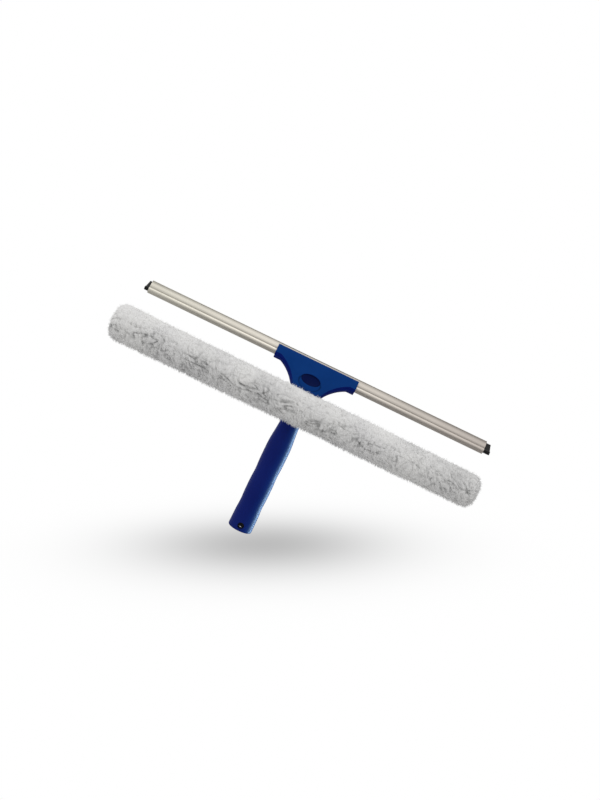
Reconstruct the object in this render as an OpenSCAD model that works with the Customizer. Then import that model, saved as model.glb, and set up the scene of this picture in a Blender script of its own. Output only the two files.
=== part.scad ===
// Combination window scrubber and squeegee, in millimetres.
// Origin: centre of the pole socket's mouth. +Z runs up the handle, X runs along the blade,
// -Y is the washer side and +Y is the side that the rubber blade faces.

/* [Grip] */
// Length of the grip, from the socket's mouth to its top
grip_len = 148; // [132:1:180]
// Radius of the grip at its middle
grip_r = 14.8; // [13.5:0.1:17]
// Radius of the grip where it meets the neck
grip_top_r = 12.2; // [11.2:0.1:13]
// Depth of each finger groove
groove_depth = 0.6; // [0:0.05:1.5]
// Rounding of the grip's lower rim
rim_r = 2; // [0.5:0.1:2.4]

/* [Pole socket] */
// Radius of the socket's bore
socket_r = 9.6; // [8:0.1:9.9]
// Depth of the socket's bore
socket_len = 62; // [40:1:70]
// Wall of the liner in the socket
liner_wall = 1.3; // [1:0.1:1.5]
// Diameter of the hole across the grip's lower end
cross_hole_d = 8.2; // [6:0.1:9]
// Diameter of the smaller hole across the liner, behind it
liner_hole_d = 5.2; // [3:0.1:5.8]
// Height of that hole above the mouth
cross_hole_z = 7.3; // [6.5:0.1:12]

/* [Neck] */
// Height of the squeegee's face above the top of the grip
neck_rise = 69; // [64:1:84]
// How far the squeegee's face lies behind the handle's axis
face_back = 20; // [16:0.5:24]
// How far the head leans back
lean = 24; // [18:1:28]
// Radius of the neck's spigot inside the grip
spigot_r = 9.4; // [8:0.1:9.8]
// Length of that spigot
spigot_len = 45; // [30:1:55]

/* [Head] */
// Width of the jaws that hold the squeegee channel
head_w = 107; // [80:1:130]
// Radius of each hollow flank of the head
flank_r = 55; // [50:1:60]
// Half the width of the head where its flanks end
neck_half_w = 13; // [12:0.5:16]
// Thickness of the head's cover
cover_t = 3.5; // [2.5:0.1:4.5]
// Height of the cover's upper edge above the middle of the squeegee's face
cover_top = 4.2; // [2:0.1:5]
// Depth of the frame behind the cover
frame_depth = 8.8; // [8:0.1:11]
// Running gap between the jaws and the channel
jaw_gap = 0.3; // [0.2:0.05:0.5]

/* [Release button] */
// Half the width of the oval button
button_a = 12; // [10:0.5:13]
// Half the height of the oval button
button_b = 6.4; // [5:0.1:7]
// Half the width of the thumb dish around it
dish_a = 14; // [13.5:0.5:18]
// Half the height of the thumb dish
dish_b = 10; // [9:0.5:11.5]
// How far the dish's middle lies below the button's
dish_drop = 3.5; // [2:0.5:5]
// Depth of the thumb dish
dish_depth = 1.2; // [0.4:0.1:1.6]
// How far the button travels
button_travel = 2.4; // [1.5:0.1:2.6]
// Distance of the button below the middle of the squeegee's face
button_drop = 20.5; // [19.5:0.1:21.5]

/* [Squeegee] */
// Length of the metal channel
channel_len = 450; // [250:10:600]
// Height of the channel's face above its middle
face_top = 8.5; // [6.5:0.25:10]
// Radius of the round bulb that holds the rubber's bead
bulb_r = 4.4; // [4.2:0.1:4.8]
// Wall of the channel around the bead
bulb_wall = 1.7; // [1.2:0.1:1.9]
// Angle of the blade's slot, measured from straight behind the face
slot_angle = 54; // [45:1:62]
// Length of the rubber blade
rubber_len = 464; // [255:1:620]
// How far the rubber sits off the middle of the channel
rubber_shift = 1.5; // [0:0.5:4]
// Reach of the lip, from the middle of its bead
lip_reach = 17; // [14:0.5:22]
// Thickness of the lip
lip_t = 1.8; // [1.2:0.1:2]

/* [T-bar and sleeve] */
// Height of the T-bar above the top of the grip
tbar_rise = 21; // [20:1:26]
// How far the T-bar lies in front of the handle's axis
tbar_front = 38; // [37:0.5:44]
// Outer radius of the T-bar's tube
tube_r = 9.5; // [8.5:0.1:10]
// Wall of that tube
tube_wall = 1.5; // [1:0.1:2]
// Length of the washer sleeve
sleeve_len = 466; // [260:1:620]
// Outer radius of the sleeve's pile
pile_r = 22; // [19:0.5:23.5]
// Thickness of the pile over each closed end
pile_end = 7; // [5:0.5:10]
// How far the pile reaches further at its left end than at its right end, halved
pile_shift = 3; // [0:0.5:3]
// Thickness of the sleeve's knitted backing
lining_t = 1.3; // [0.8:0.1:1.6]

/* [Hidden] */
$fn = 64;
eps = 0.01;
fit = 0.05;
soft_gap = 0.3;
slide_gap = 0.4;
oval_sides = 48;

blue = [0.05, 0.19, 0.45];
navy = [0.06, 0.07, 0.35];
metal = [0.80, 0.77, 0.72];
steel = [0.70, 0.70, 0.72];
black = [0.04, 0.04, 0.04];
white = [0.85, 0.85, 0.84];

// Grip and socket
groove_zs = [34, 76];
groove_w = 9;
taper_start = grip_len - 40;
taper_len = 38;
grip_taper = grip_r - grip_top_r;
grip_lower_r = grip_r + 0.4;
liner_r = socket_r + liner_wall;
liner_floor = 2;
liner_len = socket_len + liner_floor;
grip_web = 4;
spigot_bore_z = liner_len + grip_web;
spigot_z = max(grip_len - spigot_len, spigot_bore_z + 1);
spigot_wall = 3;
spigot_cap = 6;
neck_collar = 12;
grip_screw_z = grip_len - 30;
screw_head_r = 2.8;
screw_head_t = 1.8;
screw_r = 1.35;
screw_clear = 0.3;
screw_sink = 0.4;
screw_slot_w = 0.7;
screw_slot_depth = 0.8;
grip_screw_len = 8;

// Head, in its own leaning frame: y runs straight behind the face, z up along it
face_z = grip_len + neck_rise;
cover_back = -0.4;
cover_front = cover_back - cover_t;
frame_front = cover_back;
frame_back = frame_front + frame_depth;
flange_low = -9.6;
flank_cx = neck_half_w + flank_r;
flank_cz = -60;
cover_low = -41;
neck_low = -44;
neck_top_half = 16.9;
bite = 0.5;
bead_y = 3.7;
bead_z = -3.3;
jaw_wall = 2.2;
jaw_front = 5;
jaw_back = bead_y + bulb_r + jaw_gap + jaw_wall;
jaw_top = 0;
ledge_h = 2.4;
seam = 0.3;
boss_r = 3;
boss_back = 3.6;
boss_spots = [[22, -15.5], [10.5, -36.5]];
housing_back = frame_back + 1.8;
housing_half = 15;
housing_low = -39;
cover_screw_bite = 1.6;
cover_screw_seat = frame_back - screw_head_t - screw_sink;

// Lock: the button's ramp drives the shoe down by half of the button's travel
ramp_slope = 0.5;
shoe_travel = button_travel * ramp_slope;
button_proud = 0.2;
button_gap = 0.3;
button_face = cover_front + dish_depth - button_proud;
hollow_r = 40;
hollow_depth = 1.2;
button_rim = 1;
rim_w = 0.8;
rim_front = cover_back + 0.2;
rim_back = rim_front + button_rim;
stem_half = 5;
stem_top = -button_drop + 3;
stem_front = rim_front + 0.3;
shoe_front = rim_back + button_travel + slide_gap;
shoe_back = shoe_front + 3.4;
stem_back = shoe_front + 1.4;
pocket_back = max(shoe_back, stem_back + button_travel) + 0.3;
pocket_half = 14;
pocket_top = -11.5;
pocket_low = -32;
ramp_z = -button_drop - 4;
shoe_half = 12;
shoe_low = -30.4;
shoe_shoulder = -11.8;
pad_t = 1.5;
pad_half = 9;
pad_gap = 0.05;
pad_top = bead_z - bulb_r - pad_gap;
shoe_top = pad_top - pad_t;
pad_front = bead_y - 2;
pad_back = bead_y + 2;
post_half = shoe_half - 2;
post_back = shoe_front + 2.6;
ramp_gap = 0.2;
spring_gap = 0.05;
post_len = 2;
spring_y = (shoe_front + shoe_back) / 2;
spring_r = 2.2;
spring_wire = 0.35;
spring_low = -38.2;
spring_turns = 5;
spring_bore = spring_r + spring_wire + 0.3;
post_r = spring_r - spring_wire - 0.3;

// Squeegee
face_t = 1.5;
face_y = -0.3;
crown_r = 1.0;
bead_r = bulb_r - bulb_wall;
slot_half = lip_t / 2 + 0.2;
slot_wall = 1.2;
slot_len = 9;
lock_screw_x = channel_len / 2 - 14.5;
lock_screw_r = 1.4;
lock_screw_tilt = 20;

// T-bar and rail
tbar_z = grip_len + tbar_rise;
hub_r = tube_r + 1.5;
hub_half = 32;
hub_screw_x = hub_half - 9;
hub_screw_r = 1.1;
hub_screw_head_r = 2.2;
hub_screw_head_t = 1.1;
hub_screw_tip = tube_r - tube_wall - 1.5;
stem_w = 24;
stem_h = 18;
rail_gap = 0.3;
rail_face = -grip_top_r + 0.4;
rail_depth = 6;
rail_front_half = 8;
rail_back_half = 5.5;
rail_low = tbar_z - stem_h / 2;
rail_h = stem_h - 3.5;
pad_block_top = tbar_z + 8;
pad_block_half = stem_w / 2 - 2;
pad_block_back = 3;
lining_r = hub_r + soft_gap;
pile_in_r = lining_r + lining_t + soft_gap;
sleeve_half = sleeve_len / 2;
lining_end = sleeve_half - pile_end - soft_gap;
cap_end = lining_end - lining_t - soft_gap;
cap_len = 10;
cap_plug = 14;
tube_half = cap_end - cap_len;
sleeve_round = pile_r / 2 - 0.25;
hatch_half = stem_w / 2 + 1.5;
hatch_h = stem_h + 8;
hatch_y = 4;
slit_len = 126;
slit_end = min(slit_len, tube_half - cap_len);
slit_h = 3;
slit_y = 6;
strip_start = hub_half + 8;
strip_angle = 33;
strip_t = 0.6;
strip_gap = 0.1;

// Placing and extruding helpers

module at_head() translate([0, face_back, face_z]) rotate([-lean, 0, 0]) children();

module at_tbar() translate([0, -tbar_front, tbar_z]) children();

// Extrudes an outline drawn in x and z from depth y0 to depth y1
module plate(y0, y1) translate([0, y1, 0]) rotate([90, 0, 0]) linear_extrude(y1 - y0) children();

// Extrudes a section drawn in y and z from x0 to x1
module along_x(x0, x1) translate([x0, 0, 0]) rotate([90, 0, 90]) linear_extrude(x1 - x0) children();

module box(low, high) translate(low) cube(high - low);

module x_cylinder(r, x0, x1) translate([x0, 0, 0]) rotate([0, 90, 0]) cylinder(r = r, h = x1 - x0);

// An ellipse with half axes a and b
module oval(a, b) {
    polygon([for (i = [0:oval_sides - 1]) let (t = 360 * i / oval_sides) [a * cos(t), b * sin(t)]]);
}

// Grip

function groove(z) = groove_depth * (exp(-pow((z - groove_zs[0]) / groove_w, 2))
    + exp(-pow((z - groove_zs[1]) / groove_w, 2)));

function swell(z) = grip_lower_r + (grip_r - grip_lower_r) * min(1, z / 50);

function taper(z) = grip_taper / 2 * (1 - cos(180 * min(1, max(0, (z - taper_start) / taper_len))));

function grip_radius(z) = swell(z) - groove(z) - taper(z);

grip_screw_seat = grip_radius(grip_screw_z) - screw_head_t - screw_sink;

module grip_outline() {
    rim_x = grip_radius(rim_r) - rim_r;
    rim = [for (a = [0:15:90]) [rim_x + rim_r * sin(a), rim_r - rim_r * cos(a)]];
    side = [for (i = [1:34]) let (z = rim_r + (grip_len - rim_r) * i / 34) [grip_radius(z), z]];
    polygon(concat([[0, 0]], rim, side, [[0, grip_len]]));
}

module cross_hole(d) {
    translate([0, 0, cross_hole_z]) rotate([90, 0, 0]) cylinder(r = d / 2, h = 4 * grip_r, center = true);
}

module grip() {
    color(navy) difference() {
        rotate_extrude($fn = 96) grip_outline();
        translate([0, 0, -eps]) cylinder(r = liner_r + fit, h = liner_len + fit + eps);
        translate([0, 0, spigot_bore_z]) cylinder(r = spigot_r + fit, h = grip_len);
        cross_hole(cross_hole_d);
        translate([0, 0, grip_screw_z]) rotate([-90, 0, 0]) {
            cylinder(r = screw_r + screw_clear, h = grip_r);
            translate([0, 0, grip_screw_seat]) cylinder(r = screw_head_r + screw_clear, h = grip_r);
        }
    }
}

module pole_liner() {
    color(black) difference() {
        cylinder(r = liner_r, h = liner_len);
        translate([0, 0, -eps]) cylinder(r = socket_r, h = socket_len + eps);
        cross_hole(liner_hole_d);
    }
}

// A pan head screw along z: its head's seat is at z = 0 and its shank runs down to -shank
module screw(shank) {
    difference() {
        cylinder(r = screw_head_r, h = screw_head_t);
        for (turn = [0, 90]) translate([0, 0, screw_head_t]) rotate([0, 0, turn])
            cube([1.2 * screw_head_r, screw_slot_w, 2 * screw_slot_depth], center = true);
    }
    translate([0, 0, -shank]) cylinder(r = screw_r, h = shank + eps);
}

module grip_screw() {
    color(steel) translate([0, grip_screw_seat, grip_screw_z]) rotate([-90, 0, 0]) screw(grip_screw_len);
}

// Squeegee channel section, grown all round by c

module channel_outer(c) {
    translate([bead_y, bead_z]) {
        circle(r = bulb_r + c);
        rotate(slot_angle) translate([0, -slot_half - slot_wall - c])
            square([slot_len + c, 2 * (slot_half + slot_wall + c)]);
    }
    translate([face_y - c, bead_z]) square([face_t + 2 * c, face_top - crown_r - bead_z]);
    translate([face_y + crown_r, face_top - crown_r]) circle(r = crown_r + c);
}

// The way that the channel and the blade take through the jaws
module channel_way() {
    way_half = slot_half + slot_wall + jaw_gap;
    channel_outer(jaw_gap);
    translate([bead_y, bead_z]) rotate(slot_angle) translate([0, -way_half])
        square([frame_depth + 20, 2 * way_half]);
}

module blade_hollow() {
    translate([bead_y, bead_z]) {
        circle(r = bead_r);
        rotate(slot_angle) translate([0, -slot_half]) square([slot_len + 1, 2 * slot_half]);
    }
}

module lock_screw_axis() {
    translate([lock_screw_x, bead_y, bead_z]) rotate([180 - lock_screw_tilt, 0, 0]) children();
}

module channel() {
    color(metal) at_head() difference() {
        along_x(-channel_len / 2, channel_len / 2) difference() {
            channel_outer(0);
            blade_hollow();
        }
        lock_screw_axis() cylinder(r = lock_screw_r + fit, h = bulb_r + 2);
    }
}

module rubber_blade() {
    x0 = rubber_shift - rubber_len / 2;
    color(black) at_head() along_x(x0, x0 + rubber_len) translate([bead_y, bead_z]) {
        circle(r = bead_r - 0.3);
        rotate(slot_angle) translate([0, -lip_t / 2]) square([lip_reach, lip_t]);
    }
}

module rubber_lock_screw() {
    color(steel) at_head() lock_screw_axis() difference() {
        translate([0, 0, bead_r]) cylinder(r = lock_screw_r, h = bulb_wall - 0.2);
        translate([0, 0, bead_r + bulb_wall - 0.2]) cube([3, 0.5, 1], center = true);
    }
}

// Head

module head_outline(low, high) {
    difference() {
        translate([-head_w / 2, low]) square([head_w, high - low]);
        intersection() {
            for (side = [-1, 1]) translate([side * flank_cx, flank_cz]) circle(r = flank_r, $fn = 160);
            translate([-head_w, 2 * flank_cz]) square([2 * head_w, flange_low - 2 * flank_cz]);
        }
    }
}

module at_bosses() {
    for (side = [-1, 1], spot = boss_spots) translate([side * spot[0], 0, spot[1]])
        rotate([-90, 0, 0]) children();
}

module neck_blend() {
    hull() {
        at_head() box([-neck_top_half, cover_front, neck_low],
            [neck_top_half, frame_back + bite, cover_low - seam]);
        translate([0, 0, grip_len]) cylinder(r = grip_top_r - fit, h = neck_collar);
    }
}

module rail(c) {
    front = rail_face - rail_depth - c;
    linear_extrude(rail_h + c) polygon([
        [-rail_back_half - c, rail_face + bite], [-rail_back_half - c, rail_face],
        [-rail_front_half - c, front], [rail_front_half + c, front],
        [rail_back_half + c, rail_face], [rail_back_half + c, rail_face + bite]]);
}

module latch_cuts() {
    box([-pocket_half, frame_front - eps, pocket_low], [pocket_half, pocket_back, pocket_top]);
    box([-post_half - soft_gap, pad_front - 1, pocket_top - bite],
        [post_half + soft_gap, post_back + slide_gap + 0.2, pad_top + 2]);
    translate([0, spring_y, spring_low]) cylinder(r = spring_bore, h = pocket_low - spring_low + 1);
}

module head_frame() {
    color(blue) {
        difference() {
            union() {
                at_head() plate(frame_front, frame_back) head_outline(neck_low, flange_low + ledge_h);
                at_head() box([-head_w / 2, jaw_front, flange_low], [head_w / 2, jaw_back, jaw_top]);
                at_head() box([-housing_half, frame_back - 1, housing_low],
                    [housing_half, housing_back, flange_low + 1]);
                neck_blend();
                box([-pad_block_half, rail_face, rail_low - 2],
                    [pad_block_half, pad_block_back, pad_block_top]);
                translate([0, 0, rail_low]) rail(0);
                translate([0, 0, spigot_z]) cylinder(r = spigot_r, h = grip_len - spigot_z + 2);
            }
            at_head() {
                along_x(-head_w, head_w) channel_way();
                latch_cuts();
                at_bosses() {
                    translate([0, 0, frame_front - eps])
                        cylinder(r = boss_r + fit, h = boss_back + fit - frame_front + eps);
                    cylinder(r = screw_r + screw_clear, h = frame_back + 1);
                    translate([0, 0, cover_screw_seat])
                        cylinder(r = screw_head_r + screw_clear, h = frame_depth);
                }
            }
            translate([0, 0, spigot_z - eps])
                cylinder(r = spigot_r - spigot_wall, h = grip_len - spigot_z - spigot_cap);
            translate([0, 0, grip_screw_z]) rotate([-90, 0, 0]) cylinder(r = screw_r + fit, h = grip_r);
        }
    }
}

module head_cover() {
    color(blue) at_head() difference() {
        union() {
            plate(cover_front, cover_back) head_outline(cover_low, cover_top);
            at_bosses() translate([0, 0, cover_back - bite])
                cylinder(r = boss_r, h = boss_back - cover_back + bite);
        }
        along_x(-head_w, head_w) channel_outer(jaw_gap);
        translate([0, 0, -button_drop]) {
            translate([0, 0, -dish_drop])
                plate(cover_front - 1, cover_front + dish_depth) oval(dish_a, dish_b);
            plate(cover_front - 1, cover_back + 1) oval(button_a + button_gap, button_b + button_gap);
        }
        at_bosses() translate([0, 0, cover_back - cover_screw_bite - fit])
            cylinder(r = screw_r + fit, h = frame_depth);
    }
}

module cover_screws() {
    color(steel) at_head() at_bosses() translate([0, 0, cover_screw_seat])
        screw(cover_screw_seat - cover_back + cover_screw_bite);
}

// Lock

module release_button() {
    color(navy) at_head() difference() {
        union() {
            translate([0, 0, -button_drop]) {
                plate(button_face, rim_front + eps) oval(button_a, button_b);
                plate(rim_front, rim_back) oval(button_a + rim_w, button_b + rim_w);
            }
            along_x(-stem_half, stem_half) polygon([
                [stem_front, ramp_z + ramp_slope * stem_front], [stem_back, ramp_z + ramp_slope * stem_back],
                [stem_back, stem_top], [stem_front, stem_top]]);
        }
        translate([0, button_face - hollow_r + hollow_depth, -button_drop]) sphere(r = hollow_r, $fn = 128);
    }
}

module lock_shoe() {
    window_top = stem_top + shoe_travel + slide_gap;
    color(black) at_head() union() {
        difference() {
            box([-shoe_half, shoe_front, shoe_low], [shoe_half, shoe_back, shoe_shoulder]);
            along_x(-stem_half - slide_gap, stem_half + slide_gap) polygon([
                [shoe_front - 1, ramp_z + ramp_slope * (shoe_front - 1) - ramp_gap],
                [shoe_back + 1, ramp_z + ramp_slope * (shoe_back + 1) - ramp_gap],
                [shoe_back + 1, window_top], [shoe_front - 1, window_top]]);
        }
        box([-post_half, pad_front, shoe_shoulder], [post_half, post_back, shoe_top]);
        box([-post_half, shoe_front, shoe_shoulder - 1], [post_half, post_back, shoe_top]);
        translate([0, spring_y, shoe_low - post_len]) cylinder(r = post_r, h = post_len + eps);
    }
}

module brake_pad() {
    color([0.2, 0.2, 0.2]) at_head()
        box([-pad_half, pad_front, shoe_top], [pad_half, pad_back, pad_top]);
}

// Points of a coil: rings of sides points each, joined into one closed tube
function coil_ring(t, sides, length) = let (turn = 360 * spring_turns * t)
    [for (k = [0:sides - 1]) let (a = 360 * k / sides, r = spring_r + spring_wire * cos(a))
        [r * cos(turn), r * sin(turn), spring_wire + (length - 2 * spring_wire) * t + spring_wire * sin(a)]];

module coil(length) {
    sides = 6;
    rings = 70;
    points = [for (i = [0:rings]) each coil_ring(i / rings, sides, length)];
    walls = [for (i = [0:rings - 1], k = [0:sides - 1]) let (n = (k + 1) % sides)
        [i * sides + k, i * sides + n, (i + 1) * sides + n, (i + 1) * sides + k]];
    first = [for (k = [sides - 1:-1:0]) k];
    last = [for (k = [0:sides - 1]) rings * sides + k];
    polyhedron(points, concat(walls, [first], [last]));
}

module shoe_spring() {
    color(steel) at_head() translate([0, spring_y, spring_low + spring_gap])
        coil(shoe_low - spring_low - 2 * spring_gap);
}

// T-bar

module tbar_hub() {
    stem_back_y = rail_face - rail_gap;
    color(blue) difference() {
        union() {
            at_tbar() x_cylinder(hub_r, -hub_half, hub_half);
            box([-stem_w / 2, -tbar_front, rail_low], [stem_w / 2, stem_back_y, rail_low + stem_h]);
        }
        at_tbar() x_cylinder(tube_r + fit, -hub_half - 1, hub_half + 1);
        translate([0, 0, rail_low - eps]) rail(rail_gap);
        hub_screw_spots() {
            cylinder(r = hub_screw_r + fit, h = 2 * hub_r);
            translate([0, 0, hub_r - hub_screw_head_t - fit]) cylinder(r = hub_screw_head_r + fit, h = hub_r);
        }
    }
}

module hub_screw_spots() {
    at_tbar() for (side = [-1, 1]) translate([side * hub_screw_x, 0, 0]) rotate([-90, 0, 0]) children();
}

module hub_screws() {
    color(steel) hub_screw_spots() {
        translate([0, 0, hub_r - hub_screw_head_t]) cylinder(r = hub_screw_head_r, h = hub_screw_head_t);
        translate([0, 0, hub_screw_tip])
            cylinder(r = hub_screw_r, h = hub_r - hub_screw_head_t - hub_screw_tip + eps);
    }
}

module tbar_tube() {
    color(white) difference() {
        at_tbar() difference() {
            x_cylinder(tube_r, -tube_half, tube_half);
            x_cylinder(tube_r - tube_wall, -tube_half - 1, tube_half + 1);
        }
        hub_screw_spots() cylinder(r = hub_screw_r + fit, h = 2 * hub_r);
    }
}

module tbar_cap(side) {
    color(black) at_tbar() mirror([side < 0 ? 1 : 0, 0, 0]) {
        x_cylinder(hub_r, tube_half, cap_end);
        x_cylinder(tube_r - tube_wall - fit, tube_half - cap_plug, tube_half + eps);
    }
}

module tbar_cap_left() { tbar_cap(-1); }

module tbar_cap_right() { tbar_cap(1); }

// Sleeve

module hub_hatch() {
    box([-hatch_half, hatch_y, -hatch_h / 2], [hatch_half, 2 * pile_r, hatch_h / 2]);
}

module closure_slit() {
    box([0, slit_y, -slit_h / 2], [slit_end, 2 * pile_r, slit_h / 2]);
}

module sleeve_backing() {
    color(white) at_tbar() difference() {
        x_cylinder(lining_r + lining_t, -lining_end, lining_end);
        x_cylinder(lining_r, -lining_end + lining_t, lining_end - lining_t);
        hub_hatch();
        closure_slit();
    }
}

module sleeve_pile() {
    color(white) at_tbar() difference() {
        rotate([0, 90, 0]) rotate_extrude($fn = 96) difference() {
            translate([0, -pile_shift]) {
                translate([0, -sleeve_half]) square([pile_r - sleeve_round, sleeve_len]);
                translate([0, sleeve_round - sleeve_half]) square([pile_r, sleeve_len - 2 * sleeve_round]);
                for (side = [-1, 1]) translate([pile_r - sleeve_round, side * (sleeve_half - sleeve_round)])
                    circle(r = sleeve_round);
            }
            translate([0, -lining_end - soft_gap]) square([pile_in_r, 2 * (lining_end + soft_gap)]);
        }
        hub_hatch();
        closure_slit();
    }
}

module closure_strip(r_in, length) {
    color([0.9, 0.9, 0.9]) at_tbar() translate([strip_start, 0, 0]) intersection() {
        difference() {
            x_cylinder(r_in + strip_t, 0, length);
            x_cylinder(r_in, -1, length + 1);
        }
        rotate([90, 0, 90]) linear_extrude(length)
            polygon([[0, 0], [hub_r, -hub_r * tan(strip_angle)], [hub_r, hub_r * tan(strip_angle)]]);
    }
}

module closure_hook_strip() { closure_strip(tube_r + strip_gap, slit_end - strip_start - 2); }

module closure_loop_strip() {
    closure_strip(tube_r + strip_t + 2 * strip_gap, slit_end - strip_start);
}

grip();
pole_liner();
grip_screw();
head_frame();
head_cover();
cover_screws();
release_button();
lock_shoe();
brake_pad();
shoe_spring();
channel();
rubber_blade();
rubber_lock_screw();
tbar_hub();
tbar_tube();
tbar_cap_left();
tbar_cap_right();
hub_screws();
sleeve_backing();
sleeve_pile();
closure_hook_strip();
closure_loop_strip();
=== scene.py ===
# Looks of the combination window scrubber and squeegee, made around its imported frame.
# Lengths are in millimetres until a mesh is made, those of lamps in metres, and angles in degrees.
import math

import bmesh
import bpy
from mathutils import Matrix, Vector, noise


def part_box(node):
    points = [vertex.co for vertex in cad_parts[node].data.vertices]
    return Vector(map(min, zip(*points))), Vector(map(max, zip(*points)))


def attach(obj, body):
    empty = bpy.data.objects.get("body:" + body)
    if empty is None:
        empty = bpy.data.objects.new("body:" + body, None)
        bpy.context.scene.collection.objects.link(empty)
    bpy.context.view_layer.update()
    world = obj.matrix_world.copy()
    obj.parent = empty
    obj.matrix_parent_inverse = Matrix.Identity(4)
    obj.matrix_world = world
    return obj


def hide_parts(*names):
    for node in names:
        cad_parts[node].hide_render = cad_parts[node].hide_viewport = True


MM = 0.001

# Picture and camera, fitted to the photograph; the focal length is in the picture's pixels
PICTURE_WIDTH = 600.0
PICTURE_HEIGHT = 800.0
FOCAL_PIXELS = 921.0
CAMERA_AIM = Vector((-1.5, 0.0, 173.5))
CAMERA_DISTANCE = 1100.0
CAMERA_ELEVATION = 6.5
CAMERA_ROLL = 25.77
SENSOR_HEIGHT = 24.0

# Head: its face lies behind the handle's axis and leans back, with an oval thumb dish around the button
FACE_BACK = 20.0
FACE_HEIGHT = 217.0
LEAN = 24.0
WING_SLOPE = 3.0
DISH_MIDDLE = -24.0
DISH_HALF_WIDTH = 14.0
DISH_HALF_HEIGHT = 10.0
DISH_MARGIN = 1.15
# Painted shadow: a dark line along the lower edge of the thumb dish
DISH_SHADOW_LINE_WIDTH = 0.09
DISH_SHADOW_LINE_TONE = 0.45
# Painted shade: a darker, bluer tint on the head's walls that face down
DOWNWARD_SHADE_TINT = (0.8, 0.3, 0.8)

# Squeegee section, from its own face: depth behind it and height along it
BEAD = Vector((3.7, -3.3))
BULB_RADIUS = 4.4
HOLLOW_RADIUS = 2.7
SLOT_ANGLE = 54.0
SLOT_HALF = 1.1
SLOT_OUTER_HALF = 2.3
SLOT_LENGTH = 9.0
FACE_FRONT = -0.3
FACE_FOOT = -0.6
FACE_CREST = 3.4
FACE_TOP = 7.15
FACE_BOW = 0.5
FACE_BOW_REACH = 4.2
CREASE = Vector((0.4, -0.8))
BAND = (Vector((-0.5, -2.0)), Vector((-0.22, -1.4)), Vector((0.1, -1.0)))
CROWN = Vector((0.7, 7.5))
CROWN_RADIUS = 1.0
PLATE_BACK = 1.2
PLATE_BACK_TOP = 6.1
PLATE_BACK_EASE = Vector((0.2, 0.6))
BLADE_BEAD_RADIUS = 2.4
LIP_REACH = 17.0
LIP_HALF = 0.9

# Half thickness of the rubber's lip by its distance from the bead's middle
LIP_HALVES = ((4.0, LIP_HALF), (9.0, 0.85), (12.0, 0.62), (14.0, 0.72), (LIP_REACH, LIP_HALF))

# Grip
GRIP_LENGTH = 148.0
GRIP_LOWER_RADIUS = 15.2
GRIP_RADIUS = 14.8
GRIP_TOP_RADIUS = 12.2
GRIP_TOP_EDGE = 0.5
GRIP_FOOT_LENGTH = 50.0
GROOVES = (34.0, 76.0)
GROOVE_DEPTH = 0.6
GROOVE_WIDTH = 9.0
TAPER_START = 108.0
TAPER_LENGTH = 38.0
RIM_RADIUS = 2.0
LINER_BORE = 10.95
LINER_TOP = 64.05
SPIGOT_BORE = 9.45
SPIGOT_LOW = 68.0
CROSS_HOLE_RADIUS = 4.1
CROSS_HOLE_HEIGHT = 7.3
GRIP_SCREW_HEIGHT = 118.0
SCREW_HEAD_RADIUS = 3.1
SCREW_HEAD_DEPTH = 2.2
SCREW_BORE_RADIUS = 1.65
SCREW_BORE_DEPTH = 4.0

# Floor and its shadow; the shadow's middle and half widths are in the picture's pixels
FLOOR_RADIUS = 1400.0
FLOOR_DROP = 34.0
FLOOR_TILT = 11.0
FLOOR_BOUNCE = 0.55
SHADOW_MIDDLE = Vector((264.0, 544.5))
SHADOW_SPREAD = Vector((88.0, 19.5))
SHADOW_DEPTH = 0.49

# Tall lamps beside the grip, and the strength of the even white light
STRIP_WIDTH = 0.16
STRIP_HEIGHT = 0.60
STRIP_DISTANCE = 0.40
SURROUND_FILL = 0.82

# Sleeve: its skin, whose ends lie inside those of the solid, and its opening behind
PILE_RADIUS = 19.8
PILE_END_BACK = 1.9
PILE_END_SHIFT = -0.7
PILE_INNER = 13.2
PILE_ROUND = 10.0
PILE_TAPER = 1.0
PILE_MIDDLE_RADIUS = 12.0
PILE_END_RELIEF = 0.6
HATCH_HALF = 13.5
HATCH_HEIGHT = 13.0
SLIT_END = 126.0
SLIT_HALF = 1.5
HANG = Vector((0.43, 0.0, -0.90))
HANG_ACROSS = Vector((0.90, 0.0, 0.43))
DRIFT_PLACES = (Vector((31.4, 0.0, 8.2)), Vector((5.7, 22.1, 0.0)), Vector((0.0, 13.3, 47.9)))
DRIFT_SCALE = 24.0
DRIFT = 7.0

# Pattern of the matted pile: sizes of its cells, and how deep or high each kind of mark is
CLUMP_CELL = (8.5, 6.5, 6.0)
CREASE_CELL = (22.0, 6.5, 6.0)
FOLD_CELL = (8.0, 5.0, 5.5)
FOLD_PLACE = (0.0, 0.0, 40.0)
COMBED_CELL = (8.0, 2.2, 5.0)
BREAK_CELL = 13.0
BREAK_PLACE = Vector((3, 17, 5))
SWELL_CELL = 38.0
SWELL_PLACE = Vector((7, 3, 11))
PARTING_HEIGHT = -4.0
PARTING_SPREAD = 12.0
CREASE_WIDTH = 0.13
CREASE_DEPTH = 1.7
FOLD_DEPTH = 0.9
CLUMP_GAP_DEPTH = 0.5
COMBED_HEIGHT = 1.3
SWELL_HEIGHT = 0.8
PILE_LIFT = 0.6
# Painted shade on the pile: its level, lighter per millimetre that the skin stands up, and darker in the
# opening behind
PILE_SHADE_LEVEL = 0.60
PILE_SHADE_PER_MM = 0.34
OPENING_SHADE = 0.5

# Locks of pile on the matted skin
LOCKS_PER_SQUARE_METRE = 420000.0
LOCK_LENGTH = 3.1
LOCK_WIDTH = 0.6
LOCK_TIP_SHARE = 0.1
LOCK_BEND = 1.2
LOCK_HANG = 0.95
LOCK_STRAY = 0.65

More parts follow.
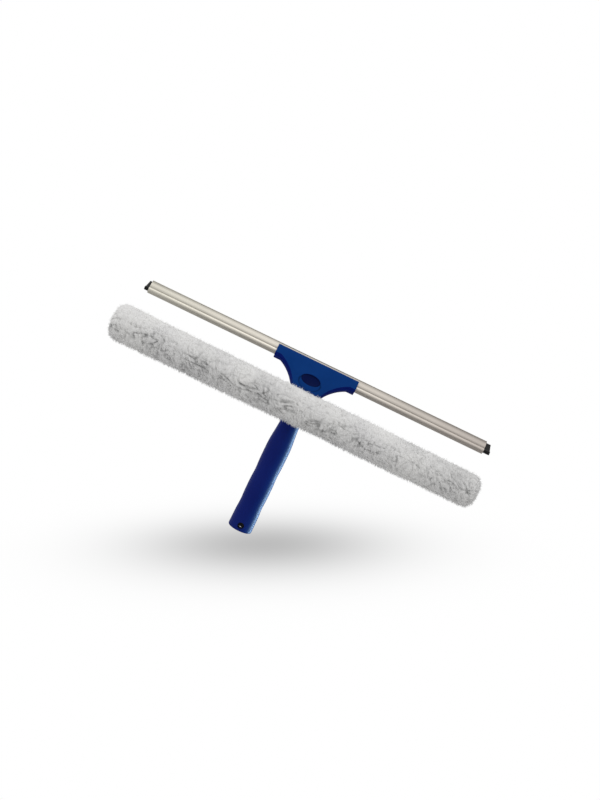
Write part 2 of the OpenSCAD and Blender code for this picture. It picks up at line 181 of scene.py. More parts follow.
# Painted light and shade on the channel's front, by height above the middle of its face: values over 1 are
# painted highlights, values under 1 painted shade
CHANNEL_LIGHT_AND_SHADE = ((-8.0, 1.15), (-6.4, 0.88), (-5.5, 0.82), (-4.6, 0.93), (-3.5, 1.26), (-2.4, 1.38),
                 (-1.4, 1.02), (-0.2, 0.88), (1.0, 1.14), (2.2, 1.26), (3.4, 1.20), (4.6, 1.10),
                 (5.8, 0.85), (7.0, 0.74), (8.6, 0.76))

# Painted reflection: the tint that the channel would mirror, from its left end to its right end
CHANNEL_LEFT_PAINTED_REFLECTION = (1.0, 0.985, 0.94)
CHANNEL_RIGHT_PAINTED_REFLECTION = (0.88, 0.825, 0.82)
CHANNEL_REFLECTION_HALF = 0.2

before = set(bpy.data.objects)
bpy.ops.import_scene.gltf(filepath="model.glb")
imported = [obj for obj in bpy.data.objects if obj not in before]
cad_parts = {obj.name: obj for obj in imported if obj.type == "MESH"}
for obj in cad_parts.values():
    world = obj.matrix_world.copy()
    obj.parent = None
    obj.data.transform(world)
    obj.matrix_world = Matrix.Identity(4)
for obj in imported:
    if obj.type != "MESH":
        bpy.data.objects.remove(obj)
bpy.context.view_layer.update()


# Meshes and pieces

def object_from(name, bm):
    """A new object in the scene from a bmesh in millimetres, its place in its mesh."""
    bmesh.ops.scale(bm, vec=(MM, MM, MM), verts=bm.verts)
    mesh = bpy.data.meshes.new(name)
    bm.to_mesh(mesh)
    bm.free()
    made = bpy.data.objects.new(name, mesh)
    bpy.context.scene.collection.objects.link(made)
    return made


def bake_modifiers(obj):
    """Turns the object with its modifiers into a plain mesh."""
    evaluated = obj.evaluated_get(bpy.context.evaluated_depsgraph_get())
    mesh = bpy.data.meshes.new_from_object(evaluated)
    obj.modifiers.clear()
    obj.data = mesh
    return obj


def smooth(obj, angle=32.0):
    """Smooth shading, with edges sharper than the angle kept sharp."""
    obj.data.shade_smooth()
    obj.data.set_sharp_from_angle(angle=math.radians(angle))
    return obj


def finish(obj, body, slot, material, *nodes):
    """Gives a piece its material and its body, and hides the CAD nodes that it stands for."""
    obj.data.materials.clear()
    obj.data.materials.append(material)
    if nodes:
        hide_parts(*nodes)
    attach(obj, body)
    return obj


def bevel(obj, width, segments=3, angle=40.0):
    """Rounds the piece's sharp edges."""
    rounding = obj.modifiers.new("rounding", "BEVEL")
    rounding.width = width * MM
    rounding.segments = segments
    rounding.limit_method = "ANGLE"
    rounding.angle_limit = math.radians(angle)
    rounding.use_clamp_overlap = True
    return bake_modifiers(obj)


def clean_copy(node):
    """A CAD node's mesh in millimetres, with its flat faces joined."""
    bm = bmesh.new()
    bm.from_mesh(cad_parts[node].data)
    bmesh.ops.remove_doubles(bm, verts=bm.verts, dist=0.002 * MM)
    bmesh.ops.dissolve_limit(bm, angle_limit=math.radians(0.6), verts=bm.verts, edges=bm.edges)
    bmesh.ops.scale(bm, vec=(1 / MM, 1 / MM, 1 / MM), verts=bm.verts)
    return bm


def rounded_copy(node, width):
    """A clean copy of a CAD node, with its moulded or turned edges rounded."""
    return smooth(bevel(object_from(node + "_finished", clean_copy(node)), width))


def cut(obj, cutter):
    """Cuts one object out of another and removes the cutter."""
    difference = obj.modifiers.new("cut", "BOOLEAN")
    difference.operation = "DIFFERENCE"
    difference.solver = "EXACT"
    difference.object = cutter
    bake_modifiers(obj)
    bpy.data.objects.remove(cutter)


def within(value):
    """The value, held between 0 and 1."""
    return max(0.0, min(1.0, value))


def head_point(x, depth, height):
    """A point given from the leaning face of the head, in the row frame."""
    lean = math.radians(LEAN)
    return Vector((x, FACE_BACK + depth * math.cos(lean) + height * math.sin(lean),
                   FACE_HEIGHT - depth * math.sin(lean) + height * math.cos(lean)))


def head_axes():
    """The ways out of the leaning face and up along it."""
    lean = math.radians(LEAN)
    return Vector((0, -math.cos(lean), math.sin(lean))), Vector((0, math.sin(lean), math.cos(lean)))


def arc(centre, radius, start, end, steps):
    """Points on an arc, from one angle to another."""
    points = []
    for i in range(steps + 1):
        angle = math.radians(start + (end - start) * i / steps)
        points.append(centre + radius * Vector((math.cos(angle), math.sin(angle))))
    return points


def swept_section(section, start, end):
    """A bar along X with a closed section given in depth and height behind the head's face."""
    bm = bmesh.new()
    rings = []
    for x in (start, end):
        rings.append([bm.verts.new(head_point(x, p.x, p.y)) for p in section])
    count = len(section)
    for i in range(count):
        j = (i + 1) % count
        bm.faces.new((rings[0][i], rings[0][j], rings[1][j], rings[1][i]))
    bm.faces.new(rings[0])
    bm.faces.new(rings[1])
    bmesh.ops.recalc_face_normals(bm, faces=bm.faces)
    return bm


def cylinder_mesh(radius, start, end, sides=48):
    """A closed cylinder between two points."""
    bm = bmesh.new()
    axis = end - start
    turn = axis.to_track_quat("Z", "Y").to_matrix().to_4x4()
    place = Matrix.Translation((start + end) / 2) @ turn
    bmesh.ops.create_cone(bm, cap_ends=True, segments=sides, radius1=radius, radius2=radius,
                          depth=axis.length, matrix=place)
    return bm


# Materials

def put(tree, kind, sockets, **settings):
    """Adds a shader or geometry node; a socket given as an output is linked, any other value is set."""
    made = tree.nodes.new(kind)
    for key, value in settings.items():
        setattr(made, key, value)
    for key, value in sockets.items():
        if isinstance(value, bpy.types.NodeSocket):
            tree.links.new(value, made.inputs[key])
        else:
            made.inputs[key].default_value = value
    return made


def surface(name, roughness=0.5, metallic=0.0, specular=0.5):
    """A material with one Principled shader, its tree and its shader."""
    made = bpy.data.materials.new(name)
    made.use_nodes = True
    shader = made.node_tree.nodes["Principled BSDF"]
    shader.inputs["Roughness"].default_value = roughness
    shader.inputs["Metallic"].default_value = metallic
    shader.inputs["Specular IOR Level"].default_value = specular
    return made, made.node_tree, shader


def place_of(tree, stretch=(1.0, 1.0, 1.0)):
    """Object coordinates, stretched along the axes."""
    coordinates = put(tree, "ShaderNodeTexCoord", {})
    mapping = put(tree, "ShaderNodeMapping", {"Vector": coordinates.outputs["Object"], "Scale": stretch})
    return mapping.outputs["Vector"]


def ramp(tree, factor, dark, light, low=0.3, high=0.7):
    """A colour that goes from dark, where the factor is low, to light, where it is high."""
    made = put(tree, "ShaderNodeValToRGB", {"Fac": factor})
    made.color_ramp.elements[0].position = low
    made.color_ramp.elements[0].color = (*dark, 1)
    made.color_ramp.elements[1].position = high
    made.color_ramp.elements[1].color = (*light, 1)
    return made.outputs["Color"]


def roughness_between(tree, shader, factor, low, high):
    """Roughness that follows a pattern, from low to high."""
    spread = put(tree, "ShaderNodeMapRange", {"Value": factor, "To Min": low, "To Max": high})
    tree.links.new(spread.outputs["Result"], shader.inputs["Roughness"])


def bump(tree, shader, height, strength, distance):
    """Adds a small relief to the shader's normal."""
    made = put(tree, "ShaderNodeBump", {"Height": height, "Strength": strength, "Distance": distance * MM})
    tree.links.new(made.outputs["Normal"], shader.inputs["Normal"])


def head_shade(tree):
    """Painted shade on the head: darker on the walls that face down, and a painted shadow line along the
    thumb dish's lower edge.
    """
    upward = head_axes()[1]
    coordinates = put(tree, "ShaderNodeTexCoord", {})
    # painted shade on the walls that face down
    lift = put(tree, "ShaderNodeVectorMath", {0: coordinates.outputs["Normal"], 1: upward},
               operation="DOT_PRODUCT")
    facing = put(tree, "ShaderNodeMapRange",
                 {"Value": lift.outputs["Value"], "From Min": -0.55, "From Max": -0.2})
    below = ramp(tree, facing.outputs["Result"], DOWNWARD_SHADE_TINT, (1.0, 1.0, 1.0), low=0.0, high=1.0)
    height = put(tree, "ShaderNodeVectorMath", {0: coordinates.outputs["Object"], 1: upward},
                 operation="DOT_PRODUCT")
    # painted shadow line along the lower half of the thumb dish's edge
    middle = (head_point(0, 0, 0).dot(upward) + DISH_MIDDLE) * MM
    over = put(tree, "ShaderNodeMath", {0: height.outputs["Value"], 1: middle}, operation="SUBTRACT")
    parts = put(tree, "ShaderNodeSeparateXYZ", {"Vector": coordinates.outputs["Object"]})
    across = put(tree, "ShaderNodeMath", {0: parts.outputs["X"], 1: DISH_HALF_WIDTH * MM},
                 operation="DIVIDE")
    up = put(tree, "ShaderNodeMath", {0: over.outputs["Value"], 1: DISH_HALF_HEIGHT * MM},
             operation="DIVIDE")
    oval = put(tree, "ShaderNodeCombineXYZ", {"X": across.outputs["Value"], "Y": up.outputs["Value"]})
    reach = put(tree, "ShaderNodeVectorMath", {0: oval.outputs["Vector"]}, operation="LENGTH")
    off = put(tree, "ShaderNodeMath", {0: reach.outputs["Value"], 1: 1.0}, operation="SUBTRACT")
    away = put(tree, "ShaderNodeMath", {0: off.outputs["Value"]}, operation="ABSOLUTE")
    line = put(tree, "ShaderNodeMapRange",
               {"Value": away.outputs["Value"], "From Max": DISH_SHADOW_LINE_WIDTH, "To Min": DISH_SHADOW_LINE_TONE,
                "To Max": 1.0})
    upper = put(tree, "ShaderNodeMapRange",
                {"Value": up.outputs["Value"], "From Min": -0.2, "From Max": 0.3})
    edge = put(tree, "ShaderNodeMath", {0: line.outputs["Result"], 1: upper.outputs["Result"]},
               operation="MAXIMUM")
    return put(tree, "ShaderNodeVectorMath", {0: below, "Scale": edge.outputs["Value"]},
               operation="SCALE").outputs["Vector"]


def moulded_plastic(name, dark, light, roughness, grain, relief, specular=0.12, shade=None):
    """Injection moulded plastic: a faint cloudy tone, a fine grain and slightly uneven gloss, with a painted
    shade multiplied into its colour where one is given.
    """
    made, tree, shader = surface(name, specular=specular)
    place = place_of(tree)
    cloud = put(tree, "ShaderNodeTexNoise", {"Vector": place, "Scale": 28.0, "Detail": 3.0})
    colour = ramp(tree, cloud.outputs["Fac"], dark, light)
    # painted shade, where given, multiplies the colour
    if shade:
        colour = put(tree, "ShaderNodeVectorMath", {0: colour, 1: shade(tree)},
                     operation="MULTIPLY").outputs["Vector"]
    tree.links.new(colour, shader.inputs["Base Color"])
    fine = put(tree, "ShaderNodeTexNoise", {"Vector": place, "Scale": grain, "Detail": 2.0})
    wear = put(tree, "ShaderNodeTexNoise", {"Vector": place, "Scale": 190.0, "Detail": 4.0})
    roughness_between(tree, shader, wear.outputs["Fac"], low=roughness - 0.06, high=roughness + 0.09)
    bump(tree, shader, fine.outputs["Fac"], strength=0.35, distance=relief)
    return made


def channel_painted_shading(tree):
    """Painted light and shade on the channel's front at this height: painted shade on its upper edge, in a
    crease and on its belly, and painted highlights on the bands between.
    """
    upward = head_axes()[1]
    low, high = CHANNEL_LIGHT_AND_SHADE[0][0], CHANNEL_LIGHT_AND_SHADE[-1][0]
    base = head_point(0, 0, 0).dot(upward)
    height = put(tree, "ShaderNodeVectorMath", {0: place_of(tree), 1: upward}, operation="DOT_PRODUCT")
    share = put(tree, "ShaderNodeMapRange",
                {"Value": height.outputs["Value"], "From Min": (base + low) * MM,
                 "From Max": (base + high) * MM})
    made = put(tree, "ShaderNodeValToRGB", {"Fac": share.outputs["Result"]})
    stops = made.color_ramp.elements
    for _ in range(len(CHANNEL_LIGHT_AND_SHADE) - len(stops)):
        stops.new(0.5)
    for stop, (at, tone) in zip(stops, CHANNEL_LIGHT_AND_SHADE):
        stop.position = (at - low) / (high - low)
        stop.color = (tone, tone, tone, 1)
    return made.outputs["Color"]


def drawn_aluminium():
    """Channel metal, with grain along its length, painted light and shade by height and a painted reflection
    tint.
    """
    made, tree, shader = surface("channel_metal_finish", metallic=1.0)
    grain = put(tree, "ShaderNodeTexNoise",
                {"Vector": place_of(tree, (6.0, 1800.0, 1800.0)), "Scale": 1.0, "Detail": 3.0})
    patches = put(tree, "ShaderNodeTexNoise", {"Vector": place_of(tree), "Scale": 14.0, "Detail": 4.0})
    both = put(tree, "ShaderNodeMath", {0: grain.outputs["Fac"], 1: patches.outputs["Fac"]},
               operation="ADD")
    half = put(tree, "ShaderNodeMath", {0: both.outputs["Value"], 1: 0.5}, operation="MULTIPLY")
    colour = ramp(tree, half.outputs["Value"], dark=(0.45, 0.435, 0.40), light=(0.58, 0.565, 0.52))
    # painted light and shade by height multiplies the metal's colour
    shaded_colour = put(tree, "ShaderNodeVectorMath", {0: colour, "Scale": channel_painted_shading(tree)}, operation="SCALE")
    # painted reflection: a tint from the left end to the right end, multiplied into the colour
    parts = put(tree, "ShaderNodeSeparateXYZ", {"Vector": place_of(tree)})
    share = put(tree, "ShaderNodeMapRange",
                {"Value": parts.outputs["X"], "From Min": -CHANNEL_REFLECTION_HALF, "From Max": CHANNEL_REFLECTION_HALF})
    painted_reflection = ramp(tree, share.outputs["Result"], CHANNEL_LEFT_PAINTED_REFLECTION, CHANNEL_RIGHT_PAINTED_REFLECTION, low=0.0, high=1.0)
    tinted = put(tree, "ShaderNodeVectorMath", {0: shaded_colour.outputs["Vector"], 1: painted_reflection}, operation="MULTIPLY")
    tree.links.new(tinted.outputs["Vector"], shader.inputs["Base Color"])
    roughness_between(tree, shader, half.outputs["Value"], low=0.40, high=0.60)
    bump(tree, shader, grain.outputs["Fac"], strength=0.3, distance=0.03)
    return made


def plated_steel():
    """Bright plated steel, for screws and the spring."""
    made, tree, shader = surface("screw_steel_finish", metallic=1.0)
    scratches = put(tree, "ShaderNodeTexNoise",
                    {"Vector": place_of(tree, (400.0, 1500.0, 900.0)), "Scale": 1.0, "Detail": 3.0})
    colour = ramp(tree, scratches.outputs["Fac"], dark=(0.50, 0.50, 0.52), light=(0.72, 0.72, 0.74))
    tree.links.new(colour, shader.inputs["Base Color"])
    roughness_between(tree, shader, scratches.outputs["Fac"], low=0.2, high=0.4)
    return made


def black_rubber(name, tone, roughness):
    """Rubber with a dull bloom and fine lengthwise drag marks."""
    made, tree, shader = surface(name, specular=0.08)
    marks = put(tree, "ShaderNodeTexNoise",
                {"Vector": place_of(tree, (25.0, 700.0, 700.0)), "Scale": 1.0, "Detail": 4.0})
    bloom = (tone * 2.2, tone * 2.2, tone * 2.3)
    colour = ramp(tree, marks.outputs["Fac"], dark=(tone, tone, tone), light=bloom)
    tree.links.new(colour, shader.inputs["Base Color"])
    roughness_between(tree, shader, marks.outputs["Fac"], low=roughness - 0.08, high=roughness + 0.12)
    bump(tree, shader, marks.outputs["Fac"], strength=0.3, distance=0.04)
    return made


def plush(name, locks=False):
    """Microfibre plush with painted shade, grey deep between the locks and white at their tips; thin locks
    let light through.
    """
    made, tree, shader = surface(name, roughness=0.95, specular=0.1)
    shader.inputs["Sheen Weight"].default_value = 0.25
    shader.inputs["Sheen Roughness"].default_value = 0.6
    # painted shade: grey in the creases and hollows, white on the crests
    depth = put(tree, "ShaderNodeAttribute", {}, attribute_name="pile_painted_shade")
    soil = put(tree, "ShaderNodeTexNoise", {"Vector": place_of(tree), "Scale": 22.0, "Detail": 3.0})
    if locks:
        deep = (0.52, 0.52, 0.515)
        tip = (0.88, 0.875, 0.865)
    else:
        deep = (0.36, 0.36, 0.355)
        tip = (0.76, 0.755, 0.745)
    base = ramp(tree, depth.outputs["Fac"], dark=deep, light=tip, low=0.1, high=0.8)
    tone = ramp(tree, soil.outputs["Fac"], dark=(0.90, 0.90, 0.91), light=(1.0, 1.0, 1.0))
    mixed = put(tree, "ShaderNodeMix", {"Factor": 1.0}, data_type="RGBA", blend_type="MULTIPLY")
    tree.links.new(base, mixed.inputs[6])
    tree.links.new(tone, mixed.inputs[7])
    tree.links.new(mixed.outputs[2], shader.inputs["Base Color"])
    if locks:
        through = put(tree, "ShaderNodeBsdfTranslucent", {"Color": mixed.outputs[2]})
        both = put(tree, "ShaderNodeMixShader", {"Fac": 0.5, 1: shader.outputs["BSDF"],
                                                 2: through.outputs["BSDF"]})
        tree.links.new(both.outputs["Shader"], tree.nodes["Material Output"].inputs["Surface"])
        return made
    fibres = put(tree, "ShaderNodeTexNoise",
                 {"Vector": place_of(tree, (500.0, 1500.0, 1500.0)), "Scale": 1.0, "Detail": 3.0})
    bump(tree, shader, fibres.outputs["Fac"], strength=0.8, distance=0.35)
    return made


def knit(name, pitch):
    """Knitted cloth or tape, with loops at the given pitch."""
    made, tree, shader = surface(name, roughness=0.9, specular=0.15)
    place = place_of(tree)
    loops = put(tree, "ShaderNodeTexVoronoi", {"Vector": place, "Scale": 1.0 / (pitch * MM)})
    colour = ramp(tree, loops.outputs["Distance"], (0.84, 0.84, 0.83), (0.55, 0.55, 0.55), low=0.1, high=0.8)
    tree.links.new(colour, shader.inputs["Base Color"])
    bump(tree, shader, loops.outputs["Distance"], strength=0.7, distance=0.3)
    return made


# Squeegee

def slot_axes():
    """The way out of the channel's slot, and the way across it."""
    angle = math.radians(SLOT_ANGLE)
    return Vector((math.cos(angle), math.sin(angle))), Vector((-math.sin(angle), math.cos(angle)))


def channel_section():
    """The channel's outline: a bowed face with a rounded crown, a bulb below it and the blade's slot."""
    ahead, across = slot_axes()
    tip = BEAD + SLOT_LENGTH * ahead
    outer_spread = math.degrees(math.asin(SLOT_OUTER_HALF / BULB_RADIUS))
    inner_spread = math.degrees(math.asin(SLOT_HALF / HOLLOW_RADIUS))
    face = [CREASE]
    steps = 14
    for i in range(steps + 1):
        height = FACE_FOOT + (FACE_TOP - FACE_FOOT) * i / steps
        bow = FACE_BOW * ((height - FACE_CREST) / FACE_BOW_REACH) ** 2
        face.append(Vector((FACE_FRONT + bow, height)))
    crown = arc(CROWN, CROWN_RADIUS, start=172, end=0, steps=10)
    back_top = Vector((PLATE_BACK, PLATE_BACK_TOP))
    back = [back_top + PLATE_BACK_EASE, back_top]
    back_angle = math.degrees(math.acos((PLATE_BACK - BEAD.x) / BULB_RADIUS))
    shoulder = arc(BEAD, BULB_RADIUS, start=back_angle, end=SLOT_ANGLE + outer_spread, steps=6)
    upper = [tip + SLOT_OUTER_HALF * across, tip + SLOT_HALF * across]
    hollow = arc(BEAD, HOLLOW_RADIUS, start=SLOT_ANGLE + inner_spread,
                 end=SLOT_ANGLE + 360 - inner_spread, steps=28)
    lower = [tip - SLOT_HALF * across, tip - SLOT_OUTER_HALF * across]
    belly = arc(BEAD, BULB_RADIUS, start=SLOT_ANGLE - outer_spread, end=-188, steps=34)
    return face + crown + back + shoulder + upper + hollow + lower + belly + list(BAND)


def squeegee_channel(material):
    """The metal channel, as long as in the frame."""
    low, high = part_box("channel")
    bm = swept_section(channel_section(), low[0] / MM, high[0] / MM)
    made = bevel(object_from("channel_finished", bm), width=0.12, segments=2, angle=60)
    smooth(made, angle=28)
    return finish(made, "squeegee", "channel_metal", material, "channel")


def blade_section():
    """A round bead for the channel's hollow, and a lip with a waist below its two sharp edges."""
    ahead, across = slot_axes()
    spread = math.degrees(math.asin(LIP_HALF / BLADE_BEAD_RADIUS))
    bead = arc(BEAD, BLADE_BEAD_RADIUS, start=SLOT_ANGLE + spread, end=SLOT_ANGLE + 360 - spread, steps=30)
    lip = [(BEAD + reach * ahead, half) for reach, half in LIP_HALVES]
    below = [point - half * across for point, half in lip]
    above = [point + half * across for point, half in reversed(lip)]
    return bead + below + above


def rubber_blade(material):
    """The rubber, as long as in the frame."""
    low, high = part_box("rubber_blade")
    bm = swept_section(blade_section(), low[0] / MM, high[0] / MM)
    made = bevel(object_from("rubber_blade_finished", bm), width=0.15, segments=2, angle=50)
    smooth(made, angle=30)
    return finish(made, "rubber", "blade_rubber", material, "rubber_blade")


# Head

def head_cover(material):
    """The cover, with the lower walls of its wings sloped back from its face."""
    bm = clean_copy("head_cover")
    front, upward = head_axes()
    on_face = 0.98
    facing_down = -0.1
    lower = set()
    for edge in bm.edges:
        if len(edge.link_faces) != 2:
            continue
        wall, face = sorted(edge.link_faces, key=lambda f: f.normal.dot(front))
        middle = (edge.verts[0].co + edge.verts[1].co) / 2
        height = middle.dot(upward) - head_point(0, 0, 0).dot(upward) - DISH_MIDDLE
        in_dish = math.hypot(middle.x / DISH_HALF_WIDTH, height / DISH_HALF_HEIGHT) < DISH_MARGIN
        outer_wall = wall.normal.dot(upward) < facing_down and not in_dish
        if face.normal.dot(front) > on_face and outer_wall:
            lower.update(edge.verts)
    for vert in lower:
        vert.co += WING_SLOPE * upward
    made = smooth(bevel(object_from("head_cover_finished", bm), width=0.6))
    return finish(made, "handle", "head_plastic", material, "head_cover")


# Grip

def grip_radius(height):
    """The grip's radius at a height: a wider foot, two finger grooves and a taper to the neck."""
    swell = GRIP_LOWER_RADIUS + (GRIP_RADIUS - GRIP_LOWER_RADIUS) * min(1.0, height / GRIP_FOOT_LENGTH)
    grooves = sum(GROOVE_DEPTH * math.exp(-((height - z) / GROOVE_WIDTH) ** 2) for z in GROOVES)
    share = within((height - TAPER_START) / TAPER_LENGTH)
    return swell - grooves - (GRIP_RADIUS - GRIP_TOP_RADIUS) * (1 - math.cos(math.pi * share)) / 2


def grip_profile():
    """Half section of the grip: outside from the top to the rim, then the socket and the spigot's bore."""
    top_height = GRIP_LENGTH - GRIP_TOP_EDGE
    top_centre = Vector((grip_radius(GRIP_LENGTH) - GRIP_TOP_EDGE, top_height))
    profile = [Vector((SPIGOT_BORE, GRIP_LENGTH))]
    profile += arc(top_centre, GRIP_TOP_EDGE, start=90, end=0, steps=4)
    steps = 90
    for i in range(1, steps + 1):
        height = top_height - (top_height - RIM_RADIUS) * i / steps
        profile.append(Vector((grip_radius(height), height)))
    rim_centre = Vector((grip_radius(RIM_RADIUS) - RIM_RADIUS, RIM_RADIUS))
    profile += arc(rim_centre, RIM_RADIUS, start=0, end=-90, steps=8)[1:]
    profile += [Vector((LINER_BORE, 0)), Vector((LINER_BORE, LINER_TOP)), Vector((0, LINER_TOP))]
    profile += [Vector((0, SPIGOT_LOW)), Vector((SPIGOT_BORE, SPIGOT_LOW))]
    return profile


def turned(profile, steps):
    """Turns a half section about Z."""
    bm = bmesh.new()
    verts = [bm.verts.new((p.x, 0, p.y)) for p in profile]
    edges = [bm.edges.new((verts[i], verts[(i + 1) % len(verts)])) for i in range(len(verts))]
    bmesh.ops.spin(bm, geom=verts + edges, cent=(0, 0, 0), axis=(0, 0, 1), angle=math.tau, steps=steps)
    bmesh.ops.remove_doubles(bm, verts=bm.verts, dist=0.001)
    bmesh.ops.dissolve_degenerate(bm, edges=bm.edges, dist=0.0005)
    bmesh.ops.recalc_face_normals(bm, faces=bm.faces)
    return bm


def finished_grip(material):
    """The turned grip with its cross hole and the recess of its screw."""
    made = object_from("grip_finished", turned(grip_profile(), steps=112))
    side = Vector((0, 2 * GRIP_RADIUS, CROSS_HOLE_HEIGHT))
    hole = cylinder_mesh(CROSS_HOLE_RADIUS, Vector((0, -side.y, side.z)), side)
    cut(made, object_from("hole_cutter", hole))
    seat = grip_radius(GRIP_SCREW_HEIGHT) - SCREW_HEAD_DEPTH
    for radius, start in ((SCREW_HEAD_RADIUS, seat), (SCREW_BORE_RADIUS, seat - SCREW_BORE_DEPTH)):
        recess = cylinder_mesh(radius, Vector((0, start, GRIP_SCREW_HEIGHT)),
                               Vector((0, 2 * GRIP_RADIUS, GRIP_SCREW_HEIGHT)))
        cut(made, object_from("recess_cutter", recess))
    smooth(made, angle=34)
    return finish(made, "handle", "grip_plastic", material, "grip")


# Washer sleeve

def sleeve_axis():
    """The middle of the sleeve and half the length of its skin."""
    low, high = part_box("sleeve_pile")
    centre = (Vector(low) + Vector(high)) / 2 / MM + Vector((PILE_END_SHIFT, 0, 0))
    return centre, (high[0] - low[0]) / 2 / MM - PILE_END_BACK


def drifted(point):
    """The point moved a little, so that the pile's pattern wanders, in the same way at each run."""
    moves = [noise.noise(point / DRIFT_SCALE + place) for place in DRIFT_PLACES]
    return point + DRIFT * Vector(moves)


def in_cells(point, cell, place=(0.0, 0.0, 0.0)):
    """The point counted in cells of a pattern, from the pattern's own place."""
    return Vector([along / size + start for along, size, start in zip(point, cell, place)])


def parting_line(place):
    """1 on the wandering line where a smooth pattern changes sign, falling to 0 beside it."""
    return max(0.0, 1.0 - abs(noise.noise(place)) / CREASE_WIDTH)


def pile_relief(x, side, up):
    """How far the matted pile stands above or below its mean, in millimetres."""
    point = Vector((x, side, up))
    bent = drifted(point)
    near, next_near = noise.voronoi(in_cells(bent, CLUMP_CELL))[0][:2]
    clump = min(1.0, 2.4 * (next_near - near))
    crease = parting_line(in_cells(bent, CREASE_CELL))
    fold = parting_line(in_cells(bent, FOLD_CELL, FOLD_PLACE))
    broken = within(0.6 + 1.6 * noise.noise(point / BREAK_CELL + BREAK_PLACE))
    combed = noise.noise(in_cells((bent.dot(HANG), bent.dot(HANG_ACROSS), bent.y), COMBED_CELL))
    swell = noise.noise(point / SWELL_CELL + SWELL_PLACE)
    middle = 0.2 + 0.8 * math.exp(-((up - PARTING_HEIGHT) / PARTING_SPREAD) ** 2)
    lower = 0.35 + 0.65 * within(0.5 - up / PILE_RADIUS)
    gaps = CLUMP_GAP_DEPTH * (1 - clump) ** 2 * broken
    parting = CREASE_DEPTH * crease * (0.5 + 0.5 * broken) + FOLD_DEPTH * fold + gaps
    return PILE_LIFT - parting * middle + COMBED_HEIGHT * combed * lower + SWELL_HEIGHT * swell


def pile_opening(x, side, up):
    """1 where the sleeve is open behind, for the T-bar's stem and along the closure, else 0."""
    if side < 0:
        return 0.0
    in_hatch = abs(x) < HATCH_HALF and abs(up) < HATCH_HEIGHT
    in_slit = 0 <= x < SLIT_END and abs(up) < SLIT_HALF
    return 1.0 if in_hatch or in_slit else 0.0


def sleeve_stations(half):
    """Places along the sleeve with the pile's plain radius there, rounded down at both ends."""
    flat = [(-half, r) for r in (2.0, 4.0, 6.0, 8.0, 10.0)]
    round_centre = Vector((-half + PILE_ROUND, PILE_RADIUS - PILE_ROUND))
    corner = arc(round_centre, PILE_ROUND, start=180, end=90, steps=14)
    left = flat + [(p.x, p.y) for p in corner]
    straight = []
    steps = 470
    length = half - PILE_ROUND
    for i in range(1, steps):
        straight.append((-length + 2 * length * i / steps, PILE_RADIUS))
    right = [(-x, r) for x, r in reversed(left)]
    return left + straight + right


def sleeve_body(material):
    """The matted pile as one closed, lumpy skin with its opening for the stem and the closure."""
    centre, half = sleeve_axis()
    stations = sleeve_stations(half)
    around = 132
    bm = bmesh.new()
    shade_layer = bm.verts.layers.float.new("pile_painted_shade")
    rings = []
    for x, radius in stations:
        ring = []
        taper = PILE_TAPER * -x / half
        for k in range(around):
            turn = math.tau * k / around
            side = math.cos(turn)
            up = math.sin(turn)
            relief = pile_relief(x, side * PILE_RADIUS, up * PILE_RADIUS)
            relief *= min(1.0, radius / PILE_MIDDLE_RADIUS)
            open_here = pile_opening(x + centre.x, side * radius, up * radius)
            reach = radius + relief + taper * radius / PILE_RADIUS
            if open_here:
                reach = min(reach, PILE_INNER)
            out = relief * PILE_END_RELIEF if abs(x) > half - PILE_ROUND else 0.0
            vert = bm.verts.new(centre + Vector((x + math.copysign(out, x), side * reach, up * reach)))
            # painted shade, stored on the skin: darker in creases and the opening, lighter on crests
            vert[shade_layer] = within(PILE_SHADE_LEVEL + PILE_SHADE_PER_MM * relief - OPENING_SHADE * open_here)
            ring.append(vert)
        rings.append(ring)
    for before, after in zip(rings, rings[1:]):
        for k in range(around):
            n = (k + 1) % around
            bm.faces.new((before[k], after[k], after[n], before[n]))
    bm.faces.new(rings[0])
    bm.faces.new(rings[-1])
    bmesh.ops.recalc_face_normals(bm, faces=bm.faces)
    made = object_from("sleeve_body", bm)
    made.data.shade_smooth()
    return made


